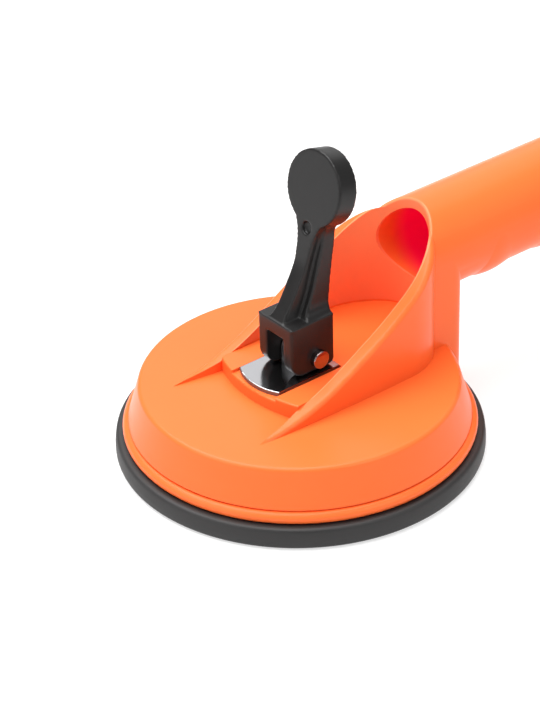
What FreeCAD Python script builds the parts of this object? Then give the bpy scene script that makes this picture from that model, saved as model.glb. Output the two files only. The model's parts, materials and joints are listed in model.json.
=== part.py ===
import FreeCAD, Part
import math
import os

from FreeCAD import Vector

# Double suction-cup lifter for floor tiles: one moulded body carries two rubber
# cups, and a cam lever over each cup pulls the middle of its rubber upwards.
# Millimetres. +X runs along the handle, +Z is up, and the floor under the cups
# is Z = 0, with the origin midway between the cups. Each cup end is drawn in
# its own frame: origin under the cup's centre, +X towards the handle.

# ---------------------------------------------------------------- cups
cup_spacing = 217.0           # centre to centre
pad_radius = 59.0
pad_rim_height = 7.0          # rubber rim, from the floor to the moulding
pad_lip_height = 1.2          # bevel at the foot of the rim
pad_lip_width = 11.0          # flat sealing ring on the floor
pad_hollow = 0.8              # how far the middle stands off the floor
pad_skin = 4.2                # rubber between the rim and the middle
pad_ring_wall = 2.4           # upstand that keys inside the moulding, at its top
pad_ring_height = 5.0
pad_boss_wall = 3.0           # raised collar round the steel plate
pad_boss_height = 2.4
soft_gap = 0.3                # rubber clear of the moulding's curved wall

# ---------------------------------------------------------------- moulded dish
flange_radius = 56.3          # rounded bead that sits on the rubber
flange_height = 3.8
flange_groove = 0.6           # step in from the bead to the skirt
skirt_foot_radius = 54.4
dish_radius = 50.7            # edge of the flat top
dish_top = 23.9
dish_edge_round = 1.6
dish_wall = 3.2

rib_count = 8
rib_thickness = 2.2
rib_foot = 15.5               # height of the ribs' lower edges
rib_root = 0.5                # how far the ribs run into the moulding
guide_wall = 2.6              # tube that guides the stud's collar

# ---------------------------------------------------------------- hood
hood_tip_x = -33.5            # feathered front ends of the two cheeks
hood_tip_y = 22.0
hood_half_width = 23.4        # outside of the cheeks
hood_inside = 18.8            # inside of the cheeks
hood_belly = 0.3              # how much a cheek's middle draws in
hood_step = 3.0               # behind the platform's front, where the cheek is full
hood_turn_x = 26.4            # where the cheeks start to curve in
hood_turn_radius = 20.6
hood_back_x = 49.0            # inside of the rear wall, on the centre line
hood_back_radius = 15.5       # and its curve in plan
hood_back_angle = 40.0        # degrees, where that curve eases into the cheeks
hood_rim_round = 1.6
hood_lip_round = 0.9          # where the rear wall meets the handle's top
platform_edge_round = 0.6
# rim from the tips to the handle's top, as shares of its run and of its rise
hood_rim = [(0.0, 0.0), (0.098, 0.029), (0.211, 0.082), (0.333, 0.168), (0.481, 0.312),
            (0.623, 0.464), (0.771, 0.659), (0.855, 0.776), (0.915, 0.864), (0.952, 0.922),
            (0.979, 0.997), (1.0, 1.074)]
platform_front_x = -19.6      # raised floor between the cheeks
platform_front_radius = 50.5
platform_top = 29.0
recess_half_width = 10.4      # channel for the steel wear plate
recess_depth = 1.0
recess_end_gap = 0.4          # behind the wear plate
platform_wall = 3.0

# ---------------------------------------------------------------- handle
tube_axis_z = 53.0
tube_radius = 16.15
tube_bore_radius = 12.6
post_rear_x = 56.6
post_corner_radius = 6.0
post_core_wall = 3.0
post_core_side_wall = 4.0
grip_count = 4
grip_pitch = 22.7
grip_swell = 1.0              # how far a crest stands below the tube
grip_sink = 1.0               # axis of the swell below the tube's axis
grip_dip = 0.4                # between crests the swell lies this far inside the tube

# ---------------------------------------------------------------- pull gear
pull_x = 1.0                  # lever pin, from the cup's centre
pin_radius = 2.25
pin_head_radius = 3.0
pin_head_length = 2.0
pin_head_round = 0.35
pin_gap = 0.04                # radial running clearance round the pin
pin_tail = 2.2
pin_tail_round = 0.5
clip_radius = 4.2
clip_thickness = 0.8
clip_edge_round = 0.25
clip_notches = 3              # slits between the washer's grip tabs
clip_notch_length = 0.9
clip_notch_width = 0.7
clip_notch_turn = 30.0        # degrees, to the first slit

plate_radius = 19.5           # steel wear plate under the lever
plate_half_width = 9.6
plate_rear = 7.4              # its square rear end, from the pin
plate_thickness = 1.5
plate_edge_round = 0.3

backing_radius = 24.0         # steel disc bonded to the rubber
backing_thickness = 2.0
backing_edge_round = 0.4
spigot_radius = 4.0
fit_gap = 0.03                # radial gap of a riveted or pressed fit

collar_radius = 8.0
collar_height = 2.5
collar_edge_round = 0.6
tab_half_width = 5.0          # stud tab, along X; its eye has the same radius
tab_thickness = 7.3
tab_gap = 0.5                 # tab to the slots it slides through

# ---------------------------------------------------------------- cam lever
pin_above_plate = 4.9         # pin axis over the wear plate at rest
cam_rest_gap = 0.5            # lever foot over the wear plate at rest
cam_front = 10.3              # pin axis to the front cam face
cam_rear = 6.8
cam_corner_radius = 5.0       # corner that rolls on the plate
cam_heel_radius = 2.0
block_width = 16.4
block_top = 48.0
block_edge_round = 0.8
slot_width = 8.1
slot_top = 43.2

paddle_radius = 12.9
paddle_thickness = 5.4
paddle_lean = 13.0            # degrees towards the handle
paddle_face_x = 7.7           # centre of the thumb face
paddle_face_z = 89.0
paddle_edge_round = 0.9
dimple_radius = 2.0
dimple_depth = 0.8
dimple_drop = 13.9            # below the centre of the thumb face
neck_angle = 42.0             # degrees from the paddle's foot, where the neck starts
neck_length = 18.0            # below the centre of the thumb face
neck_step = 2.0               # the rib stands this far proud of the flange at the neck
arm_width = 10.4              # rear flange of the arm
arm_rib_width = 6.6           # stiffening rib along its front
arm_edge_round = 0.6
foot_overlap = 1.5            # how far the arm runs down into the block
# curves of the arm, as (forward or back from the pin, up from the block's top)
rib_curve = [(-8.6, 0.0), (-5.5, 5.0), (-2.7, 10.0), (-0.4, 17.0), (1.9, 26.0), (4.3, 32.0)]
flange_curve = [(-3.3, 0.0), (-0.5, 5.0), (1.5, 10.5), (3.4, 18.0), (5.3, 25.0), (7.0, 32.0)]
arm_back = [(6.8, 0.0), (7.5, 4.0), (8.2, 9.0), (9.2, 17.0), (10.0, 25.5), (10.9, 34.0)]

# ---------------------------------------------------------------- working allowances
past = 1.0                    # a cutting shape runs this far beyond the face it opens
near = 0.01                   # a point closer than this to a face lies on it


# ---------------------------------------------------------------- helpers
def v(x, y=0.0, z=0.0):
    return Vector(x, y, z)


def line(a, b):
    return Part.LineSegment(a, b).toShape()


def arc(a, middle, b):
    return Part.Arc(a, middle, b).toShape()


def spline(points):
    curve = Part.BSplineCurve()
    curve.interpolate(points)
    return curve.toShape()


def closed_face(edges):
    return Part.Face(Part.Wire(Part.sortEdges(edges)[0]))


def polygon_face(points):
    return Part.Face(Part.makePolygon(points + [points[0]]))


def revolve(points):
    """Solid of revolution about Z from (radius, height) points."""
    face = polygon_face([v(r, 0, z) for r, z in points])
    return face.revolve(v(0), v(0, 0, 1), 360)


def box(x0, x1, y0, y1, z0, z1):
    return Part.makeBox(x1 - x0, y1 - y0, z1 - z0, v(x0, y0, z0))


def cylinder_y(radius, x, z, y0, y1):
    return Part.makeCylinder(radius, y1 - y0, v(x, y0, z), v(0, 1, 0))


def cylinder_z(radius, x, y, z0, z1):
    return Part.makeCylinder(radius, z1 - z0, v(x, y, z0), v(0, 0, 1))


def round_edges(shape, radius, wanted):
    """Fillet the edges whose middle satisfies the test wanted(point, edge)."""
    edges = []
    for edge in shape.Edges:
        middle = edge.valueAt((edge.FirstParameter + edge.LastParameter) / 2)
        if wanted(middle, edge):
            edges.append(edge)
    return shape.makeFillet(radius, edges)


def at_cup(shape, end):
    """Move a shape from the cup's frame to end a (-X) or, turned round, to b."""
    placed = shape.copy()
    if end == "b":
        placed.rotate(v(0), v(0, 0, 1), 180)
        placed.translate(v(cup_spacing / 2))
    else:
        placed.translate(v(-cup_spacing / 2))
    return placed


# heights and places that follow from the sizes above
flange_top = pad_rim_height + flange_height
dish_ceiling = dish_top - dish_wall
recess_floor = platform_top - recess_depth
plate_top = recess_floor + plate_thickness
pin_z = plate_top + pin_above_plate
tube_top = tube_axis_z + tube_radius
backing_seat = pad_hollow + pad_skin
collar_seat = backing_seat + backing_thickness
skirt_inside = dish_radius - dish_wall
skirt_foot_inside = skirt_foot_radius - dish_wall
handle_half = cup_spacing / 2


# ---------------------------------------------------------------- moulded body
def dish_outside():
    """Flat-topped dish with a drafted skirt and a rounded bead at its foot."""
    bead_round = flange_height / 2
    face = closed_face([
        line(v(0, 0, pad_rim_height), v(flange_radius - bead_round, 0, pad_rim_height)),
        arc(v(flange_radius - bead_round, 0, pad_rim_height),
            v(flange_radius, 0, pad_rim_height + bead_round),
            v(flange_radius - bead_round, 0, flange_top)),
        line(v(flange_radius - bead_round, 0, flange_top),
             v(skirt_foot_radius - flange_groove, 0, flange_top)),
        line(v(skirt_foot_radius - flange_groove, 0, flange_top),
             v(skirt_foot_radius, 0, flange_top + flange_groove)),
        line(v(skirt_foot_radius, 0, flange_top + flange_groove), v(dish_radius, 0, dish_top)),
        line(v(dish_radius, 0, dish_top), v(0, 0, dish_top)),
        line(v(0, 0, dish_top), v(0, 0, pad_rim_height)),
    ])
    dish = face.revolve(v(0), v(0, 0, 1), 360)
    return round_edges(dish, dish_edge_round,
                       lambda p, e: abs(p.z - dish_top) < near and math.hypot(p.x, p.y) > past)


def dish_inside():
    return revolve([(0, pad_rim_height - past), (skirt_foot_inside, pad_rim_height - past),
                    (skirt_foot_inside, pad_rim_height), (skirt_inside, dish_ceiling),
                    (0, dish_ceiling)])


def hood_plan_outside():
    """U in plan: two cheeks from their tips, curving in behind the hollow."""
    arc_centre_y = hood_half_width - hood_turn_radius
    end_x = hood_turn_x + hood_turn_radius
    diagonal = hood_turn_radius * math.sqrt(0.5)
    edges = []
    for side in (-1, 1):
        tip = v(hood_tip_x, side * hood_tip_y)
        belly = v(hood_tip_x / 3, side * (hood_half_width - hood_belly))
        turn = v(hood_turn_x, side * hood_half_width)
        middle = v(hood_turn_x + diagonal, side * (arc_centre_y + diagonal))
        edges.append(spline([tip, belly, turn]))
        edges.append(arc(turn, middle, v(end_x, side * arc_centre_y)))
    edges.append(line(v(hood_tip_x, -hood_tip_y), v(hood_tip_x, hood_tip_y)))
    edges.append(line(v(end_x, -arc_centre_y), v(end_x, arc_centre_y)))
    return closed_face(edges)


def hood_plan_inside():
    """Space between the cheeks: a tight curve at the back that eases into them."""
    angle = math.radians(hood_back_angle)
    centre_x = hood_back_x - hood_back_radius
    join_x = centre_x + hood_back_radius * math.cos(angle)
    join_y = hood_back_radius * math.sin(angle)
    ease_radius = (hood_inside - join_y) / (1 - math.sin(angle))
    ease_x = join_x - ease_radius * math.cos(angle)
    middle_angle = (angle + math.pi / 2) / 2
    front = hood_tip_x - past
    edges = [line(v(front, -hood_tip_y), v(front, hood_tip_y)),
             arc(v(join_x, -join_y), v(hood_back_x), v(join_x, join_y))]
    for side in (-1, 1):
        tip = v(hood_tip_x, side * hood_tip_y)
        step = v(platform_front_x + hood_step, side * hood_inside)
        straight = v(ease_x, side * hood_inside)
        middle = v(ease_x + ease_radius * math.cos(middle_angle),
                   side * (hood_inside - ease_radius * (1 - math.sin(middle_angle))))
        edges.append(line(v(front, side * hood_tip_y), tip))
        edges.append(line(tip, step))
        edges.append(line(step, straight))
        edges.append(arc(straight, middle, v(join_x, side * join_y)))
    return closed_face(edges)


def above_rim():
    """Everything over the sloping rim that runs from the tips up to the tube."""
    run = hood_back_x - hood_tip_x
    rise = tube_top - dish_top
    rim = [v(hood_tip_x + run * along, 0, dish_top + rise * up) for along, up in hood_rim]
    high = tube_top + 2 * rise
    front = hood_tip_x - hood_inside
    end = v(rim[-1].x + (high - rim[-1].z) / 2, 0, high)
    face = closed_face([
        spline(rim),
        line(rim[-1], end),
        line(end, v(front, 0, high)),
        line(v(front, 0, high), v(front, 0, dish_top)),
        line(v(front, 0, dish_top), rim[0]),
    ])
    slab = face.extrude(v(0, 4 * hood_half_width, 0))
    slab.translate(v(0, -2 * hood_half_width, 0))
    return slab


def post():
    """Wall under the tube, as wide as the tube, down to the bead."""
    front = hood_turn_x + post_core_wall
    block = box(front, post_rear_x, -tube_radius, tube_radius, pad_rim_height, tube_axis_z)
    return round_edges(block, post_corner_radius,
                       lambda p, e: abs(p.x - post_rear_x) < near and abs(abs(p.y) - tube_radius) < near)


def plate_recess():
    """Channel between the two raised pads, open at the platform's front."""
    return box(platform_front_x - past, pull_x + plate_rear + recess_end_gap, -recess_half_width,
               recess_half_width, recess_floor, platform_top + past)


def platform():
    """Raised floor between the cheeks, with an arched front and a channel."""
    centre_x = platform_front_x + platform_front_radius
    disc = cylinder_z(platform_front_radius, centre_x, 0, dish_ceiling, platform_top)
    plan = hood_plan_inside().extrude(v(0, 0, platform_top + past))
    floor = disc.common(plan).cut(plate_recess())
    return round_edges(floor, platform_edge_round,
                       lambda p, e: p.z > recess_floor - near
                       and abs(math.hypot(p.x - centre_x, p.y) - platform_front_radius) < near)


def end_of_body():
    """One cup end in the cup's frame, with the tube as far as mid-handle."""
    start = hood_turn_x + post_core_wall
    tube = Part.makeCylinder(tube_radius, handle_half - start, v(start, 0, tube_axis_z), v(1, 0, 0))
    cheeks = hood_plan_outside().extrude(v(0, 0, tube_top))
    cheeks.translate(v(0, 0, dish_ceiling))
    over = above_rim()
    hood = cheeks.fuse([post(), tube]).removeSplitter().cut(over)
    hood = round_edges(hood, hood_rim_round,
                       lambda p, e: abs(p.y) > hood_inside / 2
                       and over.distToShape(Part.Vertex(p))[0] < near)
    well = hood_plan_inside().extrude(v(0, 0, 2 * tube_top))
    well.translate(v(0, 0, dish_ceiling))
    hood = hood.cut(well)
    hood = round_edges(hood, hood_lip_round,
                       lambda p, e: p.z > tube_axis_z + tube_bore_radius and p.x < hood_back_x)
    body = dish_outside().fuse([hood, platform()])
    return body.removeSplitter()


def underside_cuts():
    """Hollow under the dish, the platform's core and the slot for the stud."""
    core_top = recess_floor - platform_wall
    core = box(platform_front_x + 2 * platform_wall, hood_turn_x, -hood_inside + platform_wall,
               hood_inside - platform_wall, dish_ceiling - past, core_top)
    half = tube_radius - post_core_side_wall
    post_core = box(post_rear_x - 2 * post_core_wall, post_rear_x - post_core_wall, -half, half,
                    pad_rim_height - past, tube_axis_z - tube_radius)
    return [dish_inside(), core, post_core]


def stud_slot(bottom, top):
    half_x = tab_half_width + tab_gap
    half_y = tab_thickness / 2 + tab_gap
    return box(pull_x - half_x, pull_x + half_x, -half_y, half_y, bottom, top)


def underside_ribs():
    """Radial ribs and the guide tube that stiffen the dish from below."""
    top = recess_floor - platform_wall + rib_root
    guide = cylinder_z(collar_radius + soft_gap + guide_wall, pull_x, 0, rib_foot, top)
    parts = []
    for index in range(rib_count):
        rib = box(collar_radius, skirt_inside + rib_root, -rib_thickness / 2, rib_thickness / 2,
                  rib_foot, dish_ceiling + rib_root)
        rib.rotate(v(0), v(0, 0, 1), (index + 0.5) * 360 / rib_count)
        parts.append(rib)
    web = guide.fuse(parts)
    well = cylinder_z(collar_radius + soft_gap, pull_x, 0, rib_foot - past, top + past)
    return web.cut(well)


def finger_grips():
    """Shallow swells under the tube, fading out towards its sides."""
    base = tube_radius - grip_sink
    points = []
    count = 2 * grip_count + 1
    for index in range(count):
        x = (index - (count - 1) / 2) * grip_pitch / 2
        swell = grip_swell if index % 2 else -grip_dip
        points.append(v(x, 0, base + swell))
    ends = [v(points[-1].x, 0, 0), v(points[0].x, 0, 0)]
    face = closed_face([spline(points), line(points[-1], ends[0]), line(ends[0], ends[1]),
                        line(ends[1], points[0])])
    swell = face.revolve(v(0), v(1, 0, 0), 360)
    swell.translate(v(0, 0, tube_axis_z - grip_sink))
    return swell


def moulded_body():
    ends = [at_cup(end_of_body(), end) for end in "ab"]
    body = ends[0].fuse([ends[1], finger_grips()])
    cuts = [Part.makeCylinder(tube_bore_radius, cup_spacing, v(-handle_half, 0, tube_axis_z), v(1, 0, 0))]
    for end in "ab":
        for cut in underside_cuts():
            cuts.append(at_cup(cut, end))
    body = body.cut(cuts)
    body = body.fuse([at_cup(underside_ribs(), end) for end in "ab"])
    body = body.cut([at_cup(stud_slot(rib_foot - past, platform_top + past), end) for end in "ab"])
    return body.removeSplitter()


# ---------------------------------------------------------------- rubber cup
def rubber_pad():
    """Cup with a flat sealing ring, a thin skin and a collar for the plate."""
    ring_outer = skirt_foot_inside - soft_gap
    skirt_taper = (skirt_foot_inside - skirt_inside) / (dish_ceiling - pad_rim_height)
    ring_top_outer = ring_outer - pad_ring_height * skirt_taper
    ring_inner = ring_top_outer - pad_ring_wall
    lip_outer = pad_radius - pad_lip_height
    lip_inner = lip_outer - pad_lip_width
    boss_inner = backing_radius + fit_gap
    seat = backing_seat
    return revolve([
        (0, pad_hollow), (lip_inner - pad_hollow, pad_hollow), (lip_inner, 0), (lip_outer, 0),
        (pad_radius, pad_lip_height), (pad_radius, pad_rim_height),
        (ring_outer, pad_rim_height), (ring_top_outer, pad_rim_height + pad_ring_height),
        (ring_inner, pad_rim_height + pad_ring_height), (ring_inner, seat),
        (boss_inner + pad_boss_wall, seat), (boss_inner + pad_boss_wall / 2, seat + pad_boss_height),
        (boss_inner, seat + pad_boss_height), (boss_inner, seat), (0, seat)])


def backing_plate():
    disc = cylinder_z(backing_radius, 0, 0, backing_seat, backing_seat + backing_thickness)
    disc = round_edges(disc, backing_edge_round, lambda p, e: p.z > collar_seat - near)
    hole = cylinder_z(spigot_radius + fit_gap, pull_x, 0, backing_seat - past, collar_seat + past)
    return disc.cut(hole)


def pull_stud():
    """Stud riveted into the backing plate, with a flat tab and an eye."""
    spigot = cylinder_z(spigot_radius, pull_x, 0, backing_seat, collar_seat)
    collar = cylinder_z(collar_radius, pull_x, 0, collar_seat, collar_seat + collar_height)
    collar = round_edges(collar, collar_edge_round, lambda p, e: p.z > collar_seat + near)
    half = tab_thickness / 2
    shank = box(pull_x - tab_half_width, pull_x + tab_half_width, -half, half,
                collar_seat + collar_height / 2, pin_z)
    eye = cylinder_y(tab_half_width, pull_x, pin_z, -half, half)
    hole = cylinder_y(pin_radius + pin_gap, pull_x, pin_z, -half - past, half + past)
    return spigot.fuse([collar, shank, eye]).cut(hole).removeSplitter()


def wear_plate():
    disc = cylinder_z(plate_radius, pull_x, 0, recess_floor, plate_top)
    disc = round_edges(disc, plate_edge_round, lambda p, e: p.z > plate_top - near)
    flats = box(pull_x - plate_radius, pull_x + plate_rear, -plate_half_width, plate_half_width,
                recess_floor - past, plate_top + past)
    return disc.common(flats).cut(stud_slot(recess_floor - past, plate_top + past))


# ---------------------------------------------------------------- lever
def cam_block():
    """Forked foot: a square block whose front lower corner is the cam."""
    foot = plate_top + cam_rest_gap
    half = block_width / 2
    block = box(pull_x - cam_front, pull_x + cam_rear, -half, half, foot, block_top)
    block = round_edges(block, cam_corner_radius,
                        lambda p, e: p.x < pull_x - cam_front + near and p.z < foot + near)
    block = round_edges(block, cam_heel_radius,
                        lambda p, e: p.x > pull_x + cam_rear - near and p.z < foot + near)
    return round_edges(block, block_edge_round,
                       lambda p, e: abs(abs(p.y) - half) < near or p.z > block_top - near)


def arm_layer(front_curve, width, edge_round):
    """One layer of the arm between a front curve and the arm's back, rounded."""
    front = [v(pull_x + x, 0, block_top + z) for x, z in front_curve]
    rear = [v(pull_x + x, 0, block_top + z) for x, z in arm_back]
    foot = [v(p.x, 0, block_top - foot_overlap) for p in (front[0], rear[0])]
    face = closed_face([spline(front), spline(rear), line(front[-1], rear[-1]),
                        line(front[0], foot[0]), line(foot[0], foot[1]), line(foot[1], rear[0])])
    layer = face.extrude(v(0, width, 0))
    layer.translate(v(0, -width / 2, 0))
    return round_edges(layer, edge_round,
                       lambda p, e: e.Length > 2 * paddle_radius and abs(abs(p.y) - width / 2) < near)


def arm_foot():
    """Flare from the arm's sides out to the sides of the block."""
    half = block_width / 2
    waist = arm_width / 2
    height = half - waist
    edges = [line(v(0, -half, block_top - foot_overlap), v(0, half, block_top - foot_overlap)),
             line(v(0, -waist, block_top + height), v(0, waist, block_top + height))]
    for side in (-1, 1):
        low = v(0, side * half, block_top - block_edge_round)
        sag = v(0, side * (half - height * math.sqrt(0.5)),
                block_top - block_edge_round + (height + block_edge_round) * (1 - math.sqrt(0.5)))
        edges.append(line(v(0, side * half, block_top - foot_overlap), low))
        edges.append(arc(low, sag, v(0, side * waist, block_top + height)))
    foot = closed_face(edges).extrude(v(cam_rear - flange_curve[0][0] - 2 * block_edge_round, 0, 0))
    foot.translate(v(pull_x + flange_curve[0][0] + block_edge_round))
    return foot


def neck_outline(half_width, length, whole):
    """Thumb disc that draws in to a neck; only the neck unless whole."""
    angle = math.radians(neck_angle)
    start = v(0, paddle_radius * math.sin(angle), -paddle_radius * math.cos(angle))
    inwards = v(0, -math.cos(angle), -math.sin(angle))
    curve = Part.BSplineCurve()
    curve.interpolate(Points=[start, v(0, half_width, -length)], InitialTangent=inwards * length,
                      FinalTangent=v(0, 0, -length))
    side = curve.toShape()
    other = side.mirror(v(0), v(0, 1, 0))
    edges = [side, other, line(v(0, -half_width, -length), v(0, half_width, -length))]
    if whole:
        edges.append(arc(v(0, -start.y, start.z), v(0, 0, paddle_radius), start))
    else:
        edges.append(line(v(0, -start.y, start.z), start))
    return closed_face(edges)


def paddle():
    """Round thumb paddle, leaning back, with a stepped neck down to the arm."""
    front = neck_outline(arm_rib_width / 2, neck_length, True).extrude(v(paddle_thickness, 0, 0))
    front = round_edges(front, paddle_edge_round,
                        lambda p, e: p.z > past - neck_length and min(p.x, paddle_thickness - p.x) < near)
    back = neck_outline(arm_width / 2, neck_length - paddle_thickness / 2, False)
    back = back.extrude(v(paddle_thickness - neck_step, 0, 0))
    back.translate(v(neck_step))
    dimple = Part.makeCylinder(dimple_radius, dimple_depth + past, v(-past, 0, -dimple_drop), v(1, 0, 0))
    for part in (front, back, dimple):
        part.rotate(v(0), v(0, 1, 0), paddle_lean)
        part.translate(v(paddle_face_x, 0, paddle_face_z))
    return [front, back], dimple


def lever():
    paddle_parts, dimple = paddle()
    arm = [arm_layer(flange_curve, arm_width, arm_edge_round),
           arm_layer(rib_curve, arm_rib_width, arm_edge_round), arm_foot()]
    body = cam_block().fuse(arm + paddle_parts)
    slot = box(pull_x - cam_front - past, pull_x + cam_rear + past, -slot_width / 2, slot_width / 2,
               plate_top - past, slot_top)
    bore = cylinder_y(pin_radius + pin_gap, pull_x, pin_z, -block_width, block_width)
    return body.cut([slot, bore, dimple]).removeSplitter()


def lever_pin():
    """Headed steel pin through both ears and the stud's eye."""
    half = block_width / 2
    shank = cylinder_y(pin_radius, pull_x, pin_z, -half, half + pin_tail)
    shank = round_edges(shank, pin_tail_round, lambda p, e: p.y > half + pin_tail - near)
    head = cylinder_y(pin_head_radius, pull_x, pin_z, -half - pin_head_length, -half)
    head = round_edges(head, pin_head_round, lambda p, e: p.y < near - half - pin_head_length)
    return shank.fuse(head).removeSplitter()


def pin_clip():
    """Push-on washer that keeps the pin in, slit into grip tabs round its hole."""
    half = block_width / 2
    ring = cylinder_y(clip_radius, pull_x, pin_z, half, half + clip_thickness)
    ring = round_edges(ring, clip_edge_round, lambda p, e: p.y > half + clip_thickness - near)
    hole = cylinder_y(pin_radius + pin_gap, pull_x, pin_z, half - past, half + clip_thickness + past)
    notches = []
    for index in range(clip_notches):
        notch = box(pull_x, pull_x + pin_radius + clip_notch_length, half - past,
                    half + clip_thickness + past, pin_z - clip_notch_width / 2,
                    pin_z + clip_notch_width / 2)
        notch.rotate(v(pull_x, 0, pin_z), v(0, 1, 0), clip_notch_turn + 360 * index / clip_notches)
        notches.append(notch)
    return ring.cut([hole] + notches)


# ---------------------------------------------------------------- output
os.makedirs("parts", exist_ok=True)

shapes = {"moulded_body": moulded_body()}
cup_parts = {
    "rubber_pad": rubber_pad,
    "backing_plate": backing_plate,
    "pull_stud": pull_stud,
    "wear_plate": wear_plate,
    "lever": lever,
    "lever_pin": lever_pin,
    "pin_clip": pin_clip,
}
for name, make in cup_parts.items():
    piece = make()
    for end in "ab":
        shapes[name + "_" + end] = at_cup(piece, end)

for name, shape in shapes.items():
    if not shape.isValid() or len(shape.Solids) != 1:
        raise RuntimeError(name + " is not one sound solid")
    shape.exportStep(os.path.join("parts", name + ".step"))
    extent = shape.BoundBox
    print("%-18s faces %3d volume %9.1f  x %.1f %.1f  y %.1f %.1f  z %.1f %.1f" % (
        name, len(shape.Faces), shape.Volume, extent.XMin, extent.XMax, extent.YMin, extent.YMax,
        extent.ZMin, extent.ZMax))
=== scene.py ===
# %% [markdown]
# # Dressing a double suction lifter
# The lifter is one orange moulding: two round dishes, a hollow handle between
# them and a hood over each dish. Under each dish sits a black rubber cup, and
# in each hood stands a black cam lever that pulls the middle of the rubber up.
# The hard parts arrive as a imported frame whose bodies already know how they
# move. This lesson gives them their finishes and adds the shapes that only a
# modeller's hand gives, such as soft edges and a turned rubber cup.

# %% Load the frame
import json
import math

import bpy
from mathutils import Matrix, Vector


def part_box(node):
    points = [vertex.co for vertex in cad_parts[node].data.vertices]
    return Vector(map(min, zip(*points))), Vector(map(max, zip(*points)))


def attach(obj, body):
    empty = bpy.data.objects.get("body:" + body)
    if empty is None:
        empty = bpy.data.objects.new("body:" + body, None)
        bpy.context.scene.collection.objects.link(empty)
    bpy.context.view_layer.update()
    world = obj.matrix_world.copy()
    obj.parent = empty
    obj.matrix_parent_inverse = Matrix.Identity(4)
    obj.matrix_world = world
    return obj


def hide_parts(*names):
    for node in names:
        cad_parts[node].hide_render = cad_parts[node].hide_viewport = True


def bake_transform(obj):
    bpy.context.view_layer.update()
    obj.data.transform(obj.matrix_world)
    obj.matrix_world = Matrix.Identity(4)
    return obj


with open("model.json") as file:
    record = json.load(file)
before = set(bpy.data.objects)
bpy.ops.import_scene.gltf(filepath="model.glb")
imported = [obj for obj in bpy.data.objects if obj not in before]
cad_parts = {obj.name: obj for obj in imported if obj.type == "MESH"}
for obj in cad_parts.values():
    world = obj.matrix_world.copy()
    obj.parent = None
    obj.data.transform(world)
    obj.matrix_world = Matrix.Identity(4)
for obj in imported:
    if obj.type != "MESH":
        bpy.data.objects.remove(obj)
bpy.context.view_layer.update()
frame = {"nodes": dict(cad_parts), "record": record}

MM = 0.001
print("nodes in the frame:", sorted(frame["nodes"]))

# %% [markdown]
# ## The camera
# Product pictures of small tools are taken with a long lens from a little above,
# so that round parts don't bulge. A camera is placed by the three directions it
# has: right, up and back. Written as the columns of a matrix they set its place
# and its turn in one go, with no angles to guess.

# %% Camera
camera_place = Vector((-0.5210, -0.5143, 0.4497))
camera_right = Vector((0.7781, -0.6276, -0.0258))
camera_up = Vector((0.3540, 0.4042, 0.8434))
camera_back = camera_right.cross(camera_up)
camera_data = bpy.data.cameras.new("camera")
camera_data.lens = 125.0            # in millimetres, as is the sensor's width
camera_data.sensor_width = 36.0
camera = bpy.data.objects.new("camera", camera_data)
bpy.context.collection.objects.link(camera)
turn = Matrix((camera_right, camera_up, camera_back)).transposed().to_4x4()
camera.matrix_world = Matrix.Translation(camera_place) @ turn
bpy.context.scene.camera = camera
print("lens", camera_data.lens, "mm")

# %% [markdown]
# ## Shader maths in plain Python
# A material is a graph of nodes. Wiring Math nodes by hand is slow to write and
# slow to read, so a small class wraps a socket and answers to +, -, * and /.
# Each sign adds one Math node. The other nodes all come from one method, which
# sets a node's choices first and then fills or links its sockets.

# %% A socket that can be used in sums
class Value:
    def __init__(self, finish, socket):
        self.finish = finish
        self.socket = socket

    def math(self, operation, other=None, swap=False):
        pair = [self] if other is None else [self, other]
        if swap:
            pair.reverse()
        return self.finish.node("ShaderNodeMath", {"operation": operation},
                                {index: item for index, item in enumerate(pair)})

    def __add__(self, other):
        return self.math("ADD", other)

    def __sub__(self, other):
        return self.math("SUBTRACT", other)

    def __rsub__(self, other):
        return self.math("SUBTRACT", other, swap=True)

    def __mul__(self, other):
        return self.math("MULTIPLY", other)

    def __truediv__(self, other):
        return self.math("DIVIDE", other)

    __radd__ = __add__

    def root(self):
        return self.math("SQRT")

    def above(self, start, end):
        """0 below start, 1 past end, and a soft step between."""
        return self.finish.node("ShaderNodeMapRange", {"interpolation_type": "SMOOTHSTEP"},
                                {"Value": self, "From Min": start, "From Max": end})


# %% [markdown]
# A finish is one Principled material. The noises that it is made of are placed on
# the object's own coordinates, so they stay on the part when it moves. What varies
# is wired in, and what doesn't is set on the shader's own socket.

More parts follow.
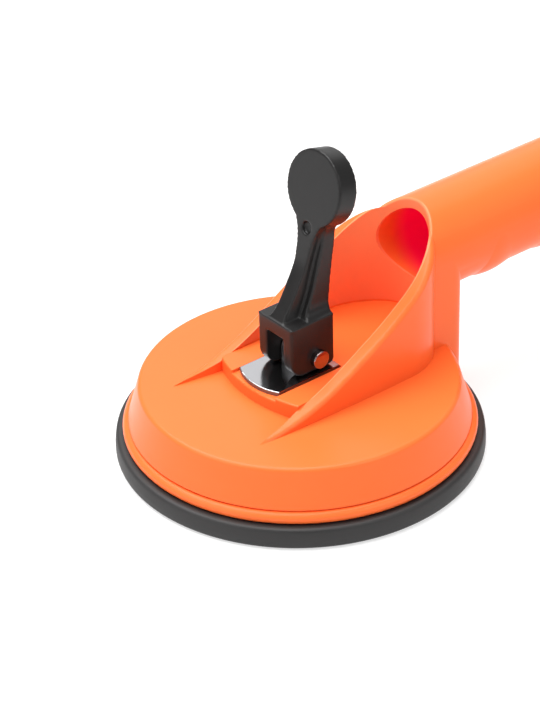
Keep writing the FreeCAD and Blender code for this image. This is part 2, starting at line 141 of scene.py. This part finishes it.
# %% A finish: one material and its nodes
class Finish:
    def __init__(self, name, **constants):
        self.material = bpy.data.materials.new(name)
        self.material.use_nodes = True
        self.tree = self.material.node_tree
        self.shader = self.tree.nodes["Principled BSDF"]
        self.place = self.node("ShaderNodeTexCoord", output="Object")
        for socket, value in constants.items():
            self.shader.inputs[socket.replace("_", " ")].default_value = value

    def put(self, socket, value):
        if isinstance(value, Value):
            self.tree.links.new(value.socket, socket)
        else:
            socket.default_value = value

    def node(self, kind, settings=None, inputs=None, output=0):
        made = self.tree.nodes.new(kind)
        for key, value in (settings or {}).items():
            setattr(made, key, value)
        for key, value in (inputs or {}).items():
            self.put(made.inputs[key], value)
        return Value(self, made.outputs[output])

    def moved(self, shift=(0, 0, 0), stretch=(1, 1, 1)):
        return self.node("ShaderNodeMapping", {},
                         {"Vector": self.place, "Location": shift, "Scale": stretch})

    def noise(self, size, detail=2.0, stretch=(1, 1, 1)):
        """Cloudy values from 0 to 1, with patches about size metres wide."""
        return self.node("ShaderNodeTexNoise", {},
                         {"Vector": self.moved(stretch=stretch), "Scale": 1.0 / size,
                          "Detail": detail, "Roughness": 0.55})

    def axis(self, index, shift=(0, 0, 0)):
        return self.node("ShaderNodeSeparateXYZ", {}, {"Vector": self.moved(shift)}, output=index)

    def blend(self, factor, one, two):
        """Mix of two colours."""
        made = self.tree.nodes.new("ShaderNodeMix")
        made.data_type = "RGBA"
        colours = [socket for socket in made.inputs if socket.type == "RGBA"]
        self.put(made.inputs[0], factor)
        self.put(colours[0], one)
        self.put(colours[1], two)
        return Value(self, [socket for socket in made.outputs if socket.type == "RGBA"][0])

    def surface(self, colour=None, roughness=None, height=None, depth=0.0):
        """Wire what varies: colour, roughness and a relief of depth metres."""
        if colour is not None:
            self.put(self.shader.inputs["Base Color"], colour)
        if roughness is not None:
            self.put(self.shader.inputs["Roughness"], roughness)
        if height is not None:
            relief = self.node("ShaderNodeBump", {}, {"Height": height, "Distance": depth,
                                                      "Strength": 1.0})
            self.put(self.shader.inputs["Normal"], relief)
        return self.material


def colour(red, green, blue):
    return (red, green, blue, 1.0)


print("shader maths is ready")

# %% [markdown]
# ## Orange moulding
# The body is one shot of bright orange ABS. A polished mould leaves a semi-gloss
# skin with a faint orange-peel ripple, and the melt's flow leaves clouds of tone
# that are almost too weak to see. Two soft noises do both: a wide one leans the
# colour, and a fine one feeds the bump. Two places get painted light, for light
# that the thin walls let through: the hollow of each hood is painted a lighter
# orange, which lifts the shade between the cheeks, and the handle's bore is
# painted deep red with a faint painted glow. All lengths here are in metres from
# the middle of the lifter, and from the floor.

# %% Where painted light changes the orange
tube_axis_z = 0.053
bore_deep = 0.051                   # how far from the middle the red begins to fade
bore_mouth = 0.0605
bore_skin = (0.0129, 0.0134)        # from inside the wall to outside it
hood_back = (0.0585, 0.0595)
hood_floor = (0.0292, 0.0300)
# from above, the hollow between the cheeks ends in half an ellipse round hood_middle
hood_middle = 0.082
hood_half_length = 0.0232
hood_half_width = 0.0191
hood_edge = (0.985, 1.015)          # as shares of the ellipse, squared
print("bore: red fades from", round(bore_deep / MM, 1), "mm; hollow of a hood:",
      round(2 * hood_half_width / MM, 1), "mm wide")

# %% Orange moulding
orange = Finish("orange_moulding", IOR=1.28, Specular_IOR_Level=0.50)
across = orange.axis(1)
upward = orange.axis(2, (0, 0, -tube_axis_z))
along = orange.axis(0)
from_axis = (across * across + upward * upward).root()
bore_depth = 1 - (along * along).above(bore_deep ** 2, bore_mouth ** 2)
# The bore, where painted light is put: a deep red for light bounced round inside it.
bore_painted_light = (1 - from_axis.above(*bore_skin)) * bore_depth
past_middle = ((along * along).root() - hood_middle).math("MINIMUM", 0)
plan = across * across / hood_half_width ** 2 + past_middle * past_middle / hood_half_length ** 2
# The hollow between the cheeks, where painted light lifts the shade.
hood_painted_light = (1 - plan.above(*hood_edge)) * (along * along).above(hood_back[0] ** 2, hood_back[1] ** 2)
hood_painted_light = hood_painted_light * upward.above(hood_floor[0] - tube_axis_z, hood_floor[1] - tube_axis_z)
cloud = orange.noise(0.045, 3.0)
orange_tone_with_painted_light = orange.blend(cloud, colour(0.90, 0.143, 0.029), colour(0.94, 0.160, 0.036))
# Painted light: the hood's hollow is painted a lighter orange.
orange_tone_with_painted_light = orange.blend(hood_painted_light, orange_tone_with_painted_light, colour(0.96, 0.240, 0.100))
# Painted light: the bore is painted deep red, and next it gets a painted glow, though it is no
# lamp.
orange_tone_with_painted_light = orange.blend(bore_painted_light, orange_tone_with_painted_light, colour(0.86, 0.014, 0.060))
bore_painted_glow = orange.blend(bore_painted_light, colour(0, 0, 0), colour(0.16, 0.0, 0.014))
orange.put(orange.shader.inputs["Emission Color"], bore_painted_glow)
orange.shader.inputs["Emission Strength"].default_value = 1.0
ripple = orange.noise(0.0011, 2.0)
orange_plastic = orange.surface(orange_tone_with_painted_light, 0.27 + cloud * 0.06, ripple, 0.000012)
print("made", orange_plastic.name)

# %% [markdown]
# ## Black lever plastic
# The lever is glass-filled nylon: black, hard and satin, because the fibres near
# the skin break up the gloss. Fine grain goes into the bump, and a coarser noise
# varies the roughness so that a highlight is never quite even.

# %% Black lever plastic
nylon = Finish("black_nylon", IOR=1.5, Specular_IOR_Level=0.30)
grain = nylon.noise(0.0005, 2.0)
patch = nylon.noise(0.006, 3.0)
nylon_colour = nylon.blend(patch, colour(0.007, 0.007, 0.007), colour(0.011, 0.010, 0.010))
lever_plastic = nylon.surface(nylon_colour, 0.30 + patch * 0.10, grain, 0.000010)
print("made", lever_plastic.name)

# %% [markdown]
# ## Rubber
# The cups are black natural rubber with a little chalk in it, so they read as a
# dark grey. Rubber has a soft, broad sheen. Its skin shows fine pores, and dust
# makes it a little lighter in patches.

# %% Rubber
rubber = Finish("black_rubber", IOR=1.5, Specular_IOR_Level=0.46)
pores = rubber.noise(0.0007, 3.0)
dust = rubber.noise(0.012, 4.0)
rubber_colour = rubber.blend(dust, colour(0.012, 0.011, 0.011), colour(0.020, 0.019, 0.019))
pad_rubber = rubber.surface(rubber_colour, 0.48 + dust * 0.14, pores, 0.000025)
print("made", pad_rubber.name)

# %% [markdown]
# ## Steels
# There are five steel parts: the wear plate is ground and polished on top and
# punched at its edge, the pin is chromed, the clip is spring steel, and the hidden
# backing plate and stud are zinc plated. All are metals, so their colour is in
# the reflection. The pin's chrome is painted dark red, a painted reflection of the
# shaded red hood around it. They differ in roughness, and in fine lines drawn
# along one direction by stretching a noise.

# %% Steels
def steel(name, light, dark, smooth, rough, lines, line_depth, face_top=None):
    """A metal with drawn lines; lines is the noise's stretch along X, Y and Z.

    With face_top, the height of a polished face, all below it is a dull cut edge.
    """
    finish = Finish(name, Metallic=1.0)
    drawn = finish.noise(0.0016, 3.0, lines)
    cloudy = finish.noise(0.009, 2.0)
    tone = finish.blend(cloudy * 0.6 + drawn * 0.4, colour(*dark), colour(*light))
    roughness = smooth + drawn * (rough - smooth)
    if face_top is not None:
        on_face = finish.axis(2).above(face_top - 0.30 * MM, face_top - 0.08 * MM)
        tone = finish.blend(on_face, colour(0.20, 0.19, 0.19), tone)
        roughness = roughness + (1 - on_face) * 0.3
    return finish.surface(tone, roughness, drawn, line_depth)


polished_steel = steel("polished_steel", (0.50, 0.50, 0.51), (0.45, 0.45, 0.47), 0.10, 0.22,
                       (0.25, 6.0, 6.0), 0.000002, face_top=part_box("wear_plate_a")[1].z)
# Painted reflection: the chrome is darkened and tinted red for the shaded red hood it mirrors.
chrome_with_painted_reflection = steel("chromed_pin_painted_reflection", (0.34, 0.26, 0.26), (0.30, 0.23, 0.23), 0.04, 0.10,
               (4.0, 0.5, 4.0), 0.000001)
spring_steel = steel("spring_steel", (0.42, 0.41, 0.40), (0.30, 0.29, 0.29), 0.22, 0.38,
                     (3.0, 1.0, 3.0), 0.000003)
zinc_plate = steel("zinc_plate", (0.68, 0.69, 0.70), (0.56, 0.57, 0.60), 0.28, 0.45,
                   (1.0, 1.0, 5.0), 0.000004)
stud_zinc = steel("zinc_stud", (0.66, 0.67, 0.68), (0.50, 0.51, 0.53), 0.24, 0.42,
                  (5.0, 5.0, 0.6), 0.000004)
print("made five steels")

# %% [markdown]
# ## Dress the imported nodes
# A node's mesh is never changed. Its material slots are, and that is all a part
# needs when its shape is already right.

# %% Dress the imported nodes
finishes = {
    "moulded_body": orange_plastic,
    "rubber_pad": pad_rubber,
    "backing_plate": zinc_plate,
    "pull_stud": stud_zinc,
    "wear_plate": polished_steel,
    "lever": lever_plastic,
    "lever_pin": chrome_with_painted_reflection,
    "pin_clip": spring_steel,
}
for name, node in frame["nodes"].items():
    family = name[:-2] if name[-2:] in ("_a", "_b") else name
    node.data.materials.clear()
    node.data.materials.append(finishes[family])
print("dressed", len(frame["nodes"]), "nodes")

# %% [markdown]
# ## Tools for shaping
# The lever's arm and the rubber cup each grow out of one flat face. An extrude
# adds the next section, and a move and a resize bring it to its place and size,
# the way a loft or a lathe works. Everything is deselected before a primitive is
# added, because the operators act on all that is selected.

# %% Shaping helpers
def begin(add, **settings):
    """Add a primitive with nothing else selected, and go to edit mode."""
    bpy.ops.object.select_all(action="DESELECT")
    add(**settings)
    bpy.ops.object.transform_apply(location=True, rotation=True, scale=True)
    bpy.ops.object.mode_set(mode="EDIT")
    bpy.ops.mesh.select_all(action="SELECT")
    return bpy.context.object


def end_shape(piece, name):
    """Turn all faces outwards and leave edit mode."""
    bpy.ops.mesh.select_all(action="SELECT")
    bpy.ops.mesh.normals_make_consistent(inside=False)
    bpy.ops.object.mode_set(mode="OBJECT")
    piece.name = name
    return piece


def finish_with(piece, kind, **settings):
    """Add a modifier and apply it at once."""
    bpy.ops.object.select_all(action="DESELECT")
    piece.select_set(True)
    bpy.context.view_layer.objects.active = piece
    modifier = piece.modifiers.new(kind.lower(), kind)
    for key, value in settings.items():
        setattr(modifier, key, value)
    bpy.ops.object.modifier_apply(modifier=modifier.name)


def join_into(piece, other, operation="UNION"):
    """Join or cut with another closed piece, which is then removed."""
    finish_with(piece, "BOOLEAN", object=other, operation=operation, solver="EXACT")
    bpy.data.objects.remove(other, do_unlink=True)


def loose_edges(piece):
    """Number of edges that don't have two faces; a closed piece has none."""
    counts = {}
    for face in piece.data.polygons:
        for key in face.edge_keys:
            counts[key] = counts.get(key, 0) + 1
    return sum(1 for count in counts.values() if count != 2)


print("shaping helpers are ready")

# %% [markdown]
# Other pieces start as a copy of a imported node. Its faces come apart at every
# edge, so that each keeps its own shading, and doubled points are merged before
# anything is cut or moved. The distance is tiny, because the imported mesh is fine
# at its feathered tips, and a wider one would fold faces on to each other there.

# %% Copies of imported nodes
same_point = 0.0002 * MM


def editable_copy(node, name):
    """A closed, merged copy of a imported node, open in edit mode."""
    packed = frame["nodes"][node]
    made = packed.copy()
    made.data = packed.data.copy()
    made.parent = None
    made.name = name
    bpy.context.collection.objects.link(made)
    bpy.ops.object.select_all(action="DESELECT")
    made.select_set(True)
    bpy.context.view_layer.objects.active = made
    if made.data.has_custom_normals:
        bpy.ops.mesh.customdata_custom_splitnormals_clear()
    finish_with(made, "WELD", merge_threshold=same_point)
    bpy.ops.object.mode_set(mode="EDIT")
    bpy.ops.mesh.select_all(action="SELECT")
    return made


print("points closer than", round(same_point / MM * 1000, 2), "micrometres are merged")

# %% [markdown]
# ## Moulding with feathered cheeks
# The cheeks of each hood run out on the dish in long thin tips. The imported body's
# tips stop a little short, so a copy of it is drawn out there: points between the
# full cheek and its tip move outwards along the dish, the tip the most. Weighted
# normals then keep the flats flat.

# %% Where the tips are
cup_middle = (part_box("rubber_pad_a")[0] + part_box("rubber_pad_a")[1]) / 2
cup_middle.z = 0
dish_top = 23.9 * MM
cheek_inside = 17.0 * MM            # no point of a tip is nearer the middle plane
cheek_outside = 24.5 * MM
cheek_full = 21.0 * MM              # outwards from the middle of the cup
cheek_tip = 33.5 * MM
tip_end = 34.5 * MM                 # past the last point of a tip
tip_reach = 2.6 * MM
touching = 0.05 * MM


def ease(share):
    """A soft start and a soft stop between 0 and 1."""
    share = min(1.0, max(0.0, share))
    return share * share * (3 - 2 * share)


print("middle of cup a:", cup_middle)

# %% Draw out the tips
moulding = end_shape(editable_copy("moulded_body", "moulding"), "moulding")
moved_points = 0
for point in moulding.data.vertices:
    outwards = abs(point.co.x) - abs(cup_middle.x)
    beside = cheek_inside < abs(point.co.y) < cheek_outside
    if beside and point.co.z > dish_top - touching and cheek_full < outwards < tip_end:
        share = (outwards - cheek_full) / (cheek_tip - cheek_full)
        point.co.x += math.copysign(tip_reach * ease(share), point.co.x)
        moved_points += 1
bpy.ops.object.shade_smooth_by_angle(angle=math.radians(32))
finish_with(moulding, "WEIGHTED_NORMAL", mode="FACE_AREA", keep_sharp=True, weight=50)
moulding.data.materials.clear()
moulding.data.materials.append(orange_plastic)
turned_over = sum(1 for face in moulding.data.polygons
                  if abs(face.center.z - dish_top) < touching / 5 and face.normal.z < 0)
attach(moulding, "frame")
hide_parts("moulded_body")
print("tips: moved", moved_points, "points; open edges", loose_edges(moulding),
      "turned over", turned_over)

# %% [markdown]
# ## Lever
# The lever is moulded in one: a forked block, an arm with a wide flange behind
# and a narrow rib in front, and a round thumb paddle. Where the forms meet, the
# mould is softened, and those small hollows catch the light. Each form is made
# by itself, they are joined, and a fine voxel remesh with a little smoothing
# rounds every edge and corner by about half a millimetre at once, without a
# fillet for each edge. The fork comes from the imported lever, so that it still
# fits its pin.

# %% Sections of the arm
# height, front, back and half width of each section, in millimetres from the pin
flange_sections = [(12.6, -3.6, 6.2, 7.8), (13.7, -3.2, 6.4, 7.5), (14.6, -2.6, 6.9, 6.3),
                   (15.8, -1.9, 7.1, 5.6), (17.4, -1.0, 7.3, 5.25), (20.5, 0.3, 7.7, 5.2),
                   (24.1, 1.5, 8.05, 5.2), (28.0, 2.6, 8.6, 5.2), (31.6, 3.5, 9.1, 5.2),
                   (35.6, 4.6, 9.75, 5.2), (38.6, 5.2, 10.1, 5.2), (40.2, 5.4, 10.2, 5.35),
                   (41.6, 5.5, 10.25, 5.75), (42.8, 5.6, 10.4, 6.3), (44.0, 5.7, 10.6, 7.1),
                   (45.2, 5.8, 10.8, 8.0), (46.4, 5.9, 11.0, 9.0)]
rib_sections = [(12.6, -9.7, 4.0, 3.7), (14.0, -9.4, 4.0, 3.4), (15.2, -8.5, 4.0, 3.0),
                (16.8, -7.2, 4.5, 2.85), (18.6, -5.95, 5.0, 2.8), (21.1, -4.5, 5.5, 2.8),
                (24.9, -2.4, 6.0, 2.8), (28.0, -0.75, 6.5, 2.85), (30.8, 0.4, 7.0, 2.95),
                (35.1, 1.55, 8.0, 3.3), (37.3, 2.1, 8.4, 3.6), (39.4, 2.62, 8.6, 4.1),
                (41.3, 3.06, 8.9, 4.75), (42.8, 3.4, 9.1, 5.55), (44.0, 3.68, 9.3, 6.45),
                (45.2, 3.96, 9.5, 7.6), (46.4, 4.23, 9.6, 8.7)]
print("sections given:", len(flange_sections), "for the flange,", len(rib_sections), "for the rib")

# %% A smooth curve through the sections
def softened(sections, step=0.8):
    """The sections with more between them, along a smooth curve through all."""
    fine = []
    for index in range(len(sections) - 1):
        start, end = sections[index], sections[index + 1]
        before = sections[max(index - 1, 0)]
        after = sections[min(index + 2, len(sections) - 1)]
        count = max(1, round((end[0] - start[0]) / step))
        for part in range(count):
            share = part / count
            height = start[0] + share * (end[0] - start[0])
            row = [height]
            for item in range(1, 4):
                slope_in = (end[item] - before[item]) / (end[0] - before[0])
                slope_out = (after[item] - start[item]) / (after[0] - start[0])
                span = end[0] - start[0]
                row.append((2 * share ** 3 - 3 * share ** 2 + 1) * start[item]
                           + (share ** 3 - 2 * share ** 2 + share) * span * slope_in
                           + (3 * share ** 2 - 2 * share ** 3) * end[item]
                           + (share ** 3 - share ** 2) * span * slope_out)
            fine.append(tuple(row))
    fine.append(sections[-1])
    return fine


print("sections used:", len(softened(flange_sections)), "for the flange,",
      len(softened(rib_sections)), "for the rib")

# %% [markdown]
# The arm is grown like a loft: a flat face takes the first section's place and
# size, and each extrude carries it on to the next. Both parts of the arm start
# inside the block and end inside the paddle, so that no gap shows where they meet.

# %% Grow the arm
pin = Vector(next(joint["pos_m"] for joint in frame["record"]["behaviour"]["joints"]
                  if joint["name"] == "lever_a_fold"))


def section_place(section):
    """Middle, length along X and width along Y of a section, in metres."""
    height, front, back, half_width = section
    middle = pin + Vector(((front + back) / 2, 0, height)) * MM
    return middle, (back - front) * MM, 2 * half_width * MM


def grow(name, sections):
    middle, length, width = section_place(sections[0])
    piece = begin(bpy.ops.mesh.primitive_plane_add, size=1.0)
    bpy.ops.transform.resize(value=(length, width, 1))
    bpy.ops.transform.translate(value=middle)
    for section in sections[1:]:
        next_middle, next_length, next_width = section_place(section)
        bpy.ops.mesh.extrude_region_move(TRANSFORM_OT_translate={"value": next_middle - middle})
        bpy.ops.transform.resize(value=(next_length / length, next_width / width, 1),
                                 center_override=next_middle)
        middle, length, width = next_middle, next_length, next_width
    return end_shape(piece, name)


flange = grow("flange", softened(flange_sections))
rib = grow("rib", softened(rib_sections))
print("open edges:", loose_edges(flange), loose_edges(rib))

# %% [markdown]
# The thumb presses on a round, flat paddle that leans back from it. A cylinder
# on its side gives the paddle, and a small one gives the dimple that the mould
# leaves below it. Both are placed from the middle of the thumb face.

# %% Thumb paddle and dimple
face_centre = (6.0, 54.05)          # back and up from the pin, in millimetres
face_lean = math.radians(13.0)
paddle_radius = 12.2
paddle_thickness = 7.0
dimple_radius = 2.0
dimple_length = 2.4                 # half of it is sunk in the face
dimple_drop = 12.9                  # below the middle of the thumb face


def disc(name, radius, length, centre, sides):
    """A short cylinder whose axis leans with the thumb face."""
    piece = begin(bpy.ops.mesh.primitive_cylinder_add, vertices=sides, radius=radius * MM,
                  depth=length * MM, location=centre,
                  rotation=(0, math.radians(90) + face_lean, 0))
    return end_shape(piece, name)


inwards = Vector((math.cos(face_lean), 0, -math.sin(face_lean)))
downwards = Vector((-math.sin(face_lean), 0, -math.cos(face_lean)))
face_middle = pin + Vector((face_centre[0], 0, face_centre[1])) * MM
paddle = disc("paddle", paddle_radius, paddle_thickness,
              face_middle + inwards * paddle_thickness / 2 * MM, 128)
dimple_place = face_middle + downwards * dimple_drop * MM
dimple = disc("dimple", dimple_radius, dimple_length, dimple_place, 48)
print("thumb face leans", round(math.degrees(face_lean)), "degrees")

# %% [markdown]
# The fork has to fit the pin, the stud and the wear plate, so it isn't modelled
# again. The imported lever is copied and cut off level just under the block's top,
# and the cut is filled so that the fork stays a closed body.

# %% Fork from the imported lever
block_top = 13.6                    # above the pin, in millimetres
cut_below = 0.35
lever_a = editable_copy("lever_a", "lever_moulding_a")
bpy.ops.mesh.bisect(plane_co=pin + Vector((0, 0, block_top - cut_below)) * MM, plane_no=(0, 0, 1),
                    use_fill=True, clear_outer=True)
end_shape(lever_a, "lever_moulding_a")
print("fork: open edges", loose_edges(lever_a), "faces", len(lever_a.data.polygons))

# %% [markdown]
# A thin cap closes the top of the block. Exact booleans then join the forms into
# one body. The voxel remesh gives it an even skin, and smoothing that skin wears
# all its edges down alike, as polishing does. The other end's lever is the same
# one, turned by half a turn.

# %% Join, soften and copy the lever
cap_front, cap_back, cap_half_width, cap_depth = -10.3, 6.8, 8.2, 0.6
cap_low = pin + Vector((cap_front, -cap_half_width, block_top - cap_depth)) * MM
cap_high = pin + Vector((cap_back, cap_half_width, block_top)) * MM
cap = begin(bpy.ops.mesh.primitive_cube_add, size=1.0)
bpy.ops.transform.resize(value=cap_high - cap_low)
bpy.ops.transform.translate(value=(cap_low + cap_high) / 2)
cap = end_shape(cap, "cap")
for part in (cap, flange, rib, paddle):
    join_into(lever_a, part)
join_into(lever_a, dimple, "DIFFERENCE")
finish_with(lever_a, "REMESH", mode="VOXEL", voxel_size=0.34 * MM, use_smooth_shade=True)
finish_with(lever_a, "SMOOTH", factor=0.5, iterations=7)
bpy.ops.object.shade_smooth()
lever_a.data.materials.clear()
lever_a.data.materials.append(lever_plastic)
print("lever:", len(lever_a.data.polygons), "faces, open edges", loose_edges(lever_a))


def turned_copy(piece, name):
    """The same piece for the other cup, half a turn round the upright axis."""
    twin = piece.copy()
    twin.data = piece.data.copy()
    twin.data.transform(Matrix.Rotation(math.pi, 4, "Z"))
    twin.name = name
    bpy.context.collection.objects.link(twin)
    return twin


lever_b = turned_copy(lever_a, "lever_moulding_b")
for end, piece in (("a", lever_a), ("b", lever_b)):
    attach(piece, "lever_" + end)
    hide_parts("lever_" + end)

# %% [markdown]
# ## Rubber cup
# The cup is moulded rubber: a thick rim, a thin skin and a raised collar that
# holds the steel plate. On the real tool only the rim stays put, and the middle
# is pulled up until the skin is taut. So the piece gets rings of points in the
# skin, and further on a weight is worked out for each point: none at the rim, all
# at the plate, and a smooth change between. It is turned as on a lathe, from one
# disc that is extruded and resized ring by ring.

# %% Rings of the cup
# radius and height of each ring, from under the middle round to the top of it
cup_rings = [(24.0, 0.8), (27.0, 0.8), (30.0, 0.8), (33.0, 0.8), (36.0, 0.8), (39.0, 0.8),
             (42.0, 0.75), (44.5, 0.6), (46.2, 0.3), (46.8, 0.02), (57.4, 0.02), (58.1, 0.25),
             (58.6, 0.75), (58.85, 1.5), (58.85, 3.5), (58.6, 5.6), (58.4, 6.3), (58.0, 6.8),
             (57.3, 6.98), (50.9, 6.98), (49.6, 11.9), (49.3, 12.0), (47.4, 12.0), (47.15, 11.8),
             (47.15, 5.6), (46.5, 5.1), (45.0, 5.0), (42.0, 5.0), (39.0, 5.0), (36.0, 5.0),
             (33.0, 5.0), (30.0, 5.0), (27.4, 5.0), (27.0, 5.2), (25.6, 7.2), (25.2, 7.4),
             (24.4, 7.4), (24.05, 7.2), (24.05, 5.0)]
cup_sides = 160
print("cup:", len(cup_rings), "rings of", cup_sides, "points")

# %% Turn the rubber cup
radius, height = cup_rings[0]
first_place = cup_middle + Vector((0, 0, height * MM))
rubber_cup_a = begin(bpy.ops.mesh.primitive_circle_add, vertices=cup_sides, fill_type="NGON",
                     radius=radius * MM, location=first_place)
for next_radius, next_height in cup_rings[1:]:
    lift = (0, 0, (next_height - height) * MM)
    bpy.ops.mesh.extrude_region_move(TRANSFORM_OT_translate={"value": lift})
    scale = next_radius / radius
    bpy.ops.transform.resize(value=(scale, scale, 1), center_override=cup_middle)
    radius, height = next_radius, next_height
end_shape(rubber_cup_a, "rubber_cup_a")
bpy.ops.object.shade_smooth_by_angle(angle=math.radians(40))
rubber_cup_a.data.materials.append(pad_rubber)
print("cup:", len(rubber_cup_a.data.polygons), "faces, open edges", loose_edges(rubber_cup_a))

# %% [markdown]
# The second cup is the first, turned by half a turn. For each cup a weight is
# worked out for every point from its distance to the middle of the cup, and the
# imported pad is hidden. No blend is made, so the weights move no point.

# %% Weights for the rubber cups
rubber_cup_b = turned_copy(rubber_cup_a, "rubber_cup_b")
skin_inner = 27.0 * MM
skin_outer = 46.0 * MM
for end, cup in (("a", rubber_cup_a), ("b", rubber_cup_b)):
    middle = cup_middle if end == "a" else -cup_middle
    "puller_" + end
    middle + Vector((skin_outer, 0, 0))
    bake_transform(cup)
    weights = []
    for point in cup.data.vertices:
        distance = (point.co.xy - middle.xy).length
        weights.append(ease((skin_outer - distance) / (skin_outer - skin_inner)))
    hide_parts("rubber_pad_" + end)
print("points that move with the plate:", sum(1 for weight in weights if weight > 0.99))

# %% [markdown]
# ## Studio
# The lifter stands on a pale table that is lit from within, under soft light, so
# its shadows almost vanish. One broad light overhead makes the flat tops bright,
# one on either side draws soft edges on the round parts, one behind shines in the
# wear plates, and the pale surroundings fill the rest.

# %% Floor
bpy.ops.object.select_all(action="DESELECT")
bpy.ops.mesh.primitive_plane_add(size=12.0, location=(0, 0, -0.2 * MM))
floor = bpy.context.object
floor.name = "studio_floor"
paper = Finish("studio_paper", Roughness=0.9, Emission_Strength=0.58)
paper_tone = paper.noise(0.4, 2.0)
paper_colour = paper.blend(paper_tone, colour(0.44, 0.44, 0.44), colour(0.47, 0.47, 0.47))
paper.put(paper.shader.inputs["Emission Color"], colour(1, 1, 1))
floor.data.materials.append(paper.surface(paper_colour))
print("floor at", round(floor.location.z / MM, 2), "mm")

# %% Lights
def area_light(name, place, target, size, power):
    data = bpy.data.lights.new(name, "AREA")
    data.shape = "RECTANGLE"
    data.size, data.size_y = size
    data.energy = power
    light = bpy.data.objects.new(name, data)
    bpy.context.collection.objects.link(light)
    light.location = place
    light.rotation_euler = (Vector(target) - Vector(place)).to_track_quat("-Z", "Y").to_euler()
    return light


area_light("light_above", (-0.25, 0.35, 1.3), (-0.1, 0, 0), (1.4, 1.4), 35)
area_light("light_left", (-1.3, 0.1, 0.6), (-0.1, 0, 0.05), (0.9, 0.9), 4)
area_light("light_right", (0.2, -1.2, 1.0), (-0.1, 0, 0.05), (0.9, 0.9), 6)
area_light("light_behind", (1.0, 1.0, 1.05), (-0.1, 0, 0.05), (1.5, 1.5), 6)

world = bpy.data.worlds.new("studio")
world.use_nodes = True
world.node_tree.nodes["Background"].inputs["Color"].default_value = colour(1, 1, 1)
world.node_tree.nodes["Background"].inputs["Strength"].default_value = 0.40
bpy.context.scene.world = world
bpy.context.scene.view_settings.view_transform = "Standard"
print("studio is lit")
